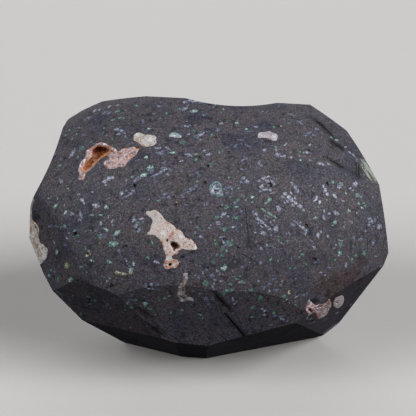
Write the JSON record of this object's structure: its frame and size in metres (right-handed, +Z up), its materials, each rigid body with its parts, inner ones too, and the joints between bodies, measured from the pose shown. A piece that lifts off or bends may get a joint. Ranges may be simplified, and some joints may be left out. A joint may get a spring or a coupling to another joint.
{
  "type": "ground amygdaloidal basalt nodule with zeolite fillings",
  "caption": "Rounded dark basalt lump, ground to broad flats all round, with pale zeolite fillings and an open amber vug; stands on a flat base.",
  "frame": {"origin": "middle of the bounding box in plan, on the flat base", "axes": "+X to the right across the longest extent, +Y to the back, +Z up; the domed front faces -Y"},
  "size_m": [0.2828, 0.2218, 0.2178],
  "materials": {
    "basalt": "rough ground",
    "amber_pink_crystal": "drusy",
    "cream_zeolite": "ground matte",
    "pale_zeolite": "ground matte",
    "orange_pink_druse": "drusy",
    "pink_white_zeolite": "ground satin",
    "grey_lilac_calcite": "ground matte",
    "brown_pink_vein": "ground matte",
    "celadonite_rimmed": "ground matte"
  },
  "bodies": {
    "root": {"basalt": "basalt", "amber_and_pink_crust": "amber_pink_crystal", "cream_filling_upper_left": "cream_zeolite", "pale_filling_top": "pale_zeolite", "cream_filling_upper_right": "cream_zeolite", "star_filling": "cream_zeolite", "left_end_crust": "cream_zeolite", "low_right_druse": "orange_pink_druse", "low_right_oval": "pink_white_zeolite", "right_end_filling": "pale_zeolite", "corner_edge_filling": "grey_lilac_calcite", "crease_vein": "brown_pink_vein", "green_rimmed_filling": "celadonite_rimmed", "back_filling": "cream_zeolite", "back_druse": "orange_pink_druse", "back_left_filling": "pale_zeolite"}
  },
  "joints": []
}
